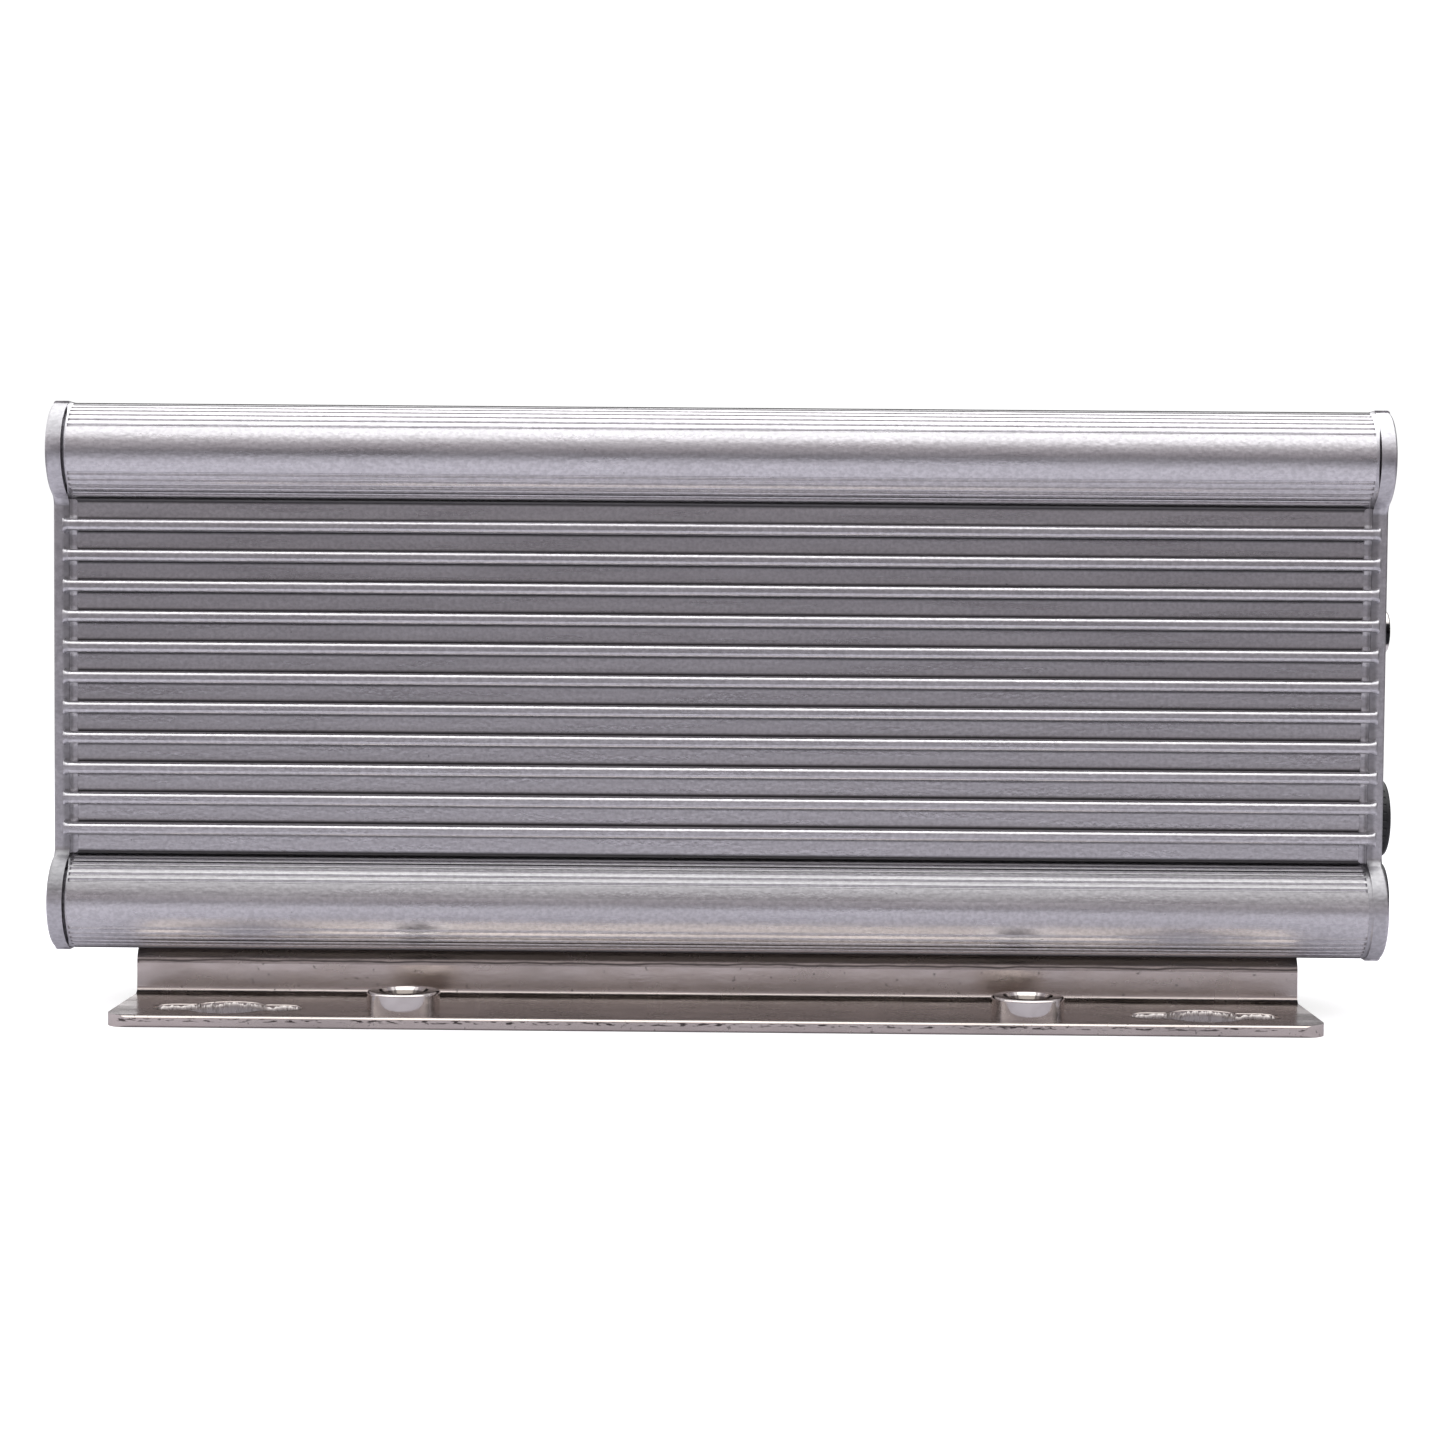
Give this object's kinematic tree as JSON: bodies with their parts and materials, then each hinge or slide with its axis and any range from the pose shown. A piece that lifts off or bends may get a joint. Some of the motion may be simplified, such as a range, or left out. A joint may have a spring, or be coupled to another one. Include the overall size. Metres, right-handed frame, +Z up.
{
  "type": "micro inverter",
  "caption": "Small solar inverter: a finned aluminium extrusion with end plates, input and output sockets and a status lamp, on a flanged keyhole bracket.",
  "frame": {"origin": "on the surface that the bracket stands on, under the middle of the bracket", "axes": "+X along the extrusion towards the AC end with the lamp and the capped socket, +Y to the back, +Z up"},
  "size_m": [0.2053, 0.068, 0.0914],
  "materials": {
    "case_aluminium": "sand-blasted and clear anodised, satin",
    "plate_aluminium": "sand-blasted, satin",
    "bracket_steel": "bright nickel plate on sheet steel",
    "plated_steel": "bright nickel plate",
    "screw_steel": "bright zinc plate",
    "black_rubber": "matt",
    "black_plastic": "fine moulded texture",
    "clear_lens": "milky, glossy",
    "tinned_copper": "tin plated",
    "gold_brass": "thin gold plate",
    "board": "green solder mask on glass laminate",
    "chip_resin": "moulded epoxy",
    "capacitor_sleeve": "shrink sleeve over an aluminium can",
    "ferrite": "fine ceramic",
    "bobbin_plastic": "moulded",
    "winding_tape": "polyester tape over copper wire",
    "copper_wire": "enamelled copper",
    "relay_case": "moulded",
    "film_case": "moulded",
    "varistor_resin": "dipped epoxy",
    "fuse_glass": "clear",
    "pad_silicone": "soft silicone",
    "insulation": "polyester film",
    "red_lead": "insulated wire",
    "black_lead": "insulated wire",
    "grey_lead": "insulated wire"
  },
  "bodies": {
    "inverter": {"housing": "case_aluminium", "end_plate_dc": "plate_aluminium", "end_plate_ac": "plate_aluminium", "end_gasket_dc": "black_rubber", "end_gasket_ac": "black_rubber", "end_screws_dc": "screw_steel", "end_screws_ac": "screw_steel", "mounting_bracket": "bracket_steel", "clinch_nuts": "plated_steel", "bracket_screws": "screw_steel", "bracket_washers": "screw_steel", "led_bezel": "plated_steel", "led_lens": "clear_lens", "led_nut": "plated_steel", "ac_socket_upper": "black_plastic", "ac_socket_lower": "black_plastic", "ac_socket_inserts": "black_plastic", "ac_socket_pins": "gold_brass", "ac_socket_nuts": "plated_steel", "ac_socket_seals": "black_rubber", "pv_socket_negative": "black_plastic", "pv_socket_positive": "black_plastic", "pv_contacts": "tinned_copper", "pv_socket_nuts": "black_plastic", "pv_socket_seals": "black_rubber", "main_board": "board", "control_board": "board", "control_chips": "chip_resin", "input_capacitors": "capacitor_sleeve", "bus_capacitors": "capacitor_sleeve", "transformer_cores": "ferrite", "transformer_bobbins": "bobbin_plastic", "transformer_windings": "winding_tape", "choke_core": "ferrite", "choke_winding": "copper_wire", "output_relay": "relay_case", "film_capacitors": "film_case", "varistor": "varistor_resin", "fuse": "fuse_glass", "fuse_clips": "tinned_copper", "heat_spreader": "case_aluminium", "thermal_pads": "pad_silicone", "dc_transistors": "chip_resin", "ac_transistors": "chip_resin", "transistor_clamps": "screw_steel", "clamp_screws": "screw_steel", "insulation_sheet": "insulation", "dc_lead_negative": "black_lead", "dc_lead_positive": "red_lead", "ac_leads": "grey_lead", "led_leads": "red_lead"},
    "cap_seal_upper": {"ac_cap_seal_upper": "black_rubber"},
    "cap_upper": {"ac_cap_upper": "black_plastic"},
    "cap_seal_lower": {"ac_cap_seal_lower": "black_rubber"},
    "cap_lower": {"ac_cap_lower": "black_plastic"}
  },
  "joints": [
    {"name": "cap_upper_travel", "type": "slide", "parent": "inverter", "child": "cap_seal_upper", "axis": [1, 0, 0], "range_m": [0, 0.00125]},
    {"name": "cap_upper_turn", "type": "hinge", "parent": "cap_seal_upper", "child": "cap_upper", "pos_m": [0.1023, 0, 0.0293], "axis": [1, 0, 0], "range_deg": [0, 450]},
    {"name": "cap_lower_travel", "type": "slide", "parent": "inverter", "child": "cap_seal_lower", "axis": [1, 0, 0], "range_m": [0, 0.00125]},
    {"name": "cap_lower_turn", "type": "hinge", "parent": "cap_seal_lower", "child": "cap_lower", "pos_m": [0.1023, 0, 0.0165], "axis": [1, 0, 0], "range_deg": [0, 450]}
  ],
  "couplings": [
    {"joint": "cap_upper_turn", "follows": "cap_upper_travel", "rad_per_m": 6283.2},
    {"joint": "cap_lower_turn", "follows": "cap_lower_travel", "rad_per_m": 6283.2}
  ]
}
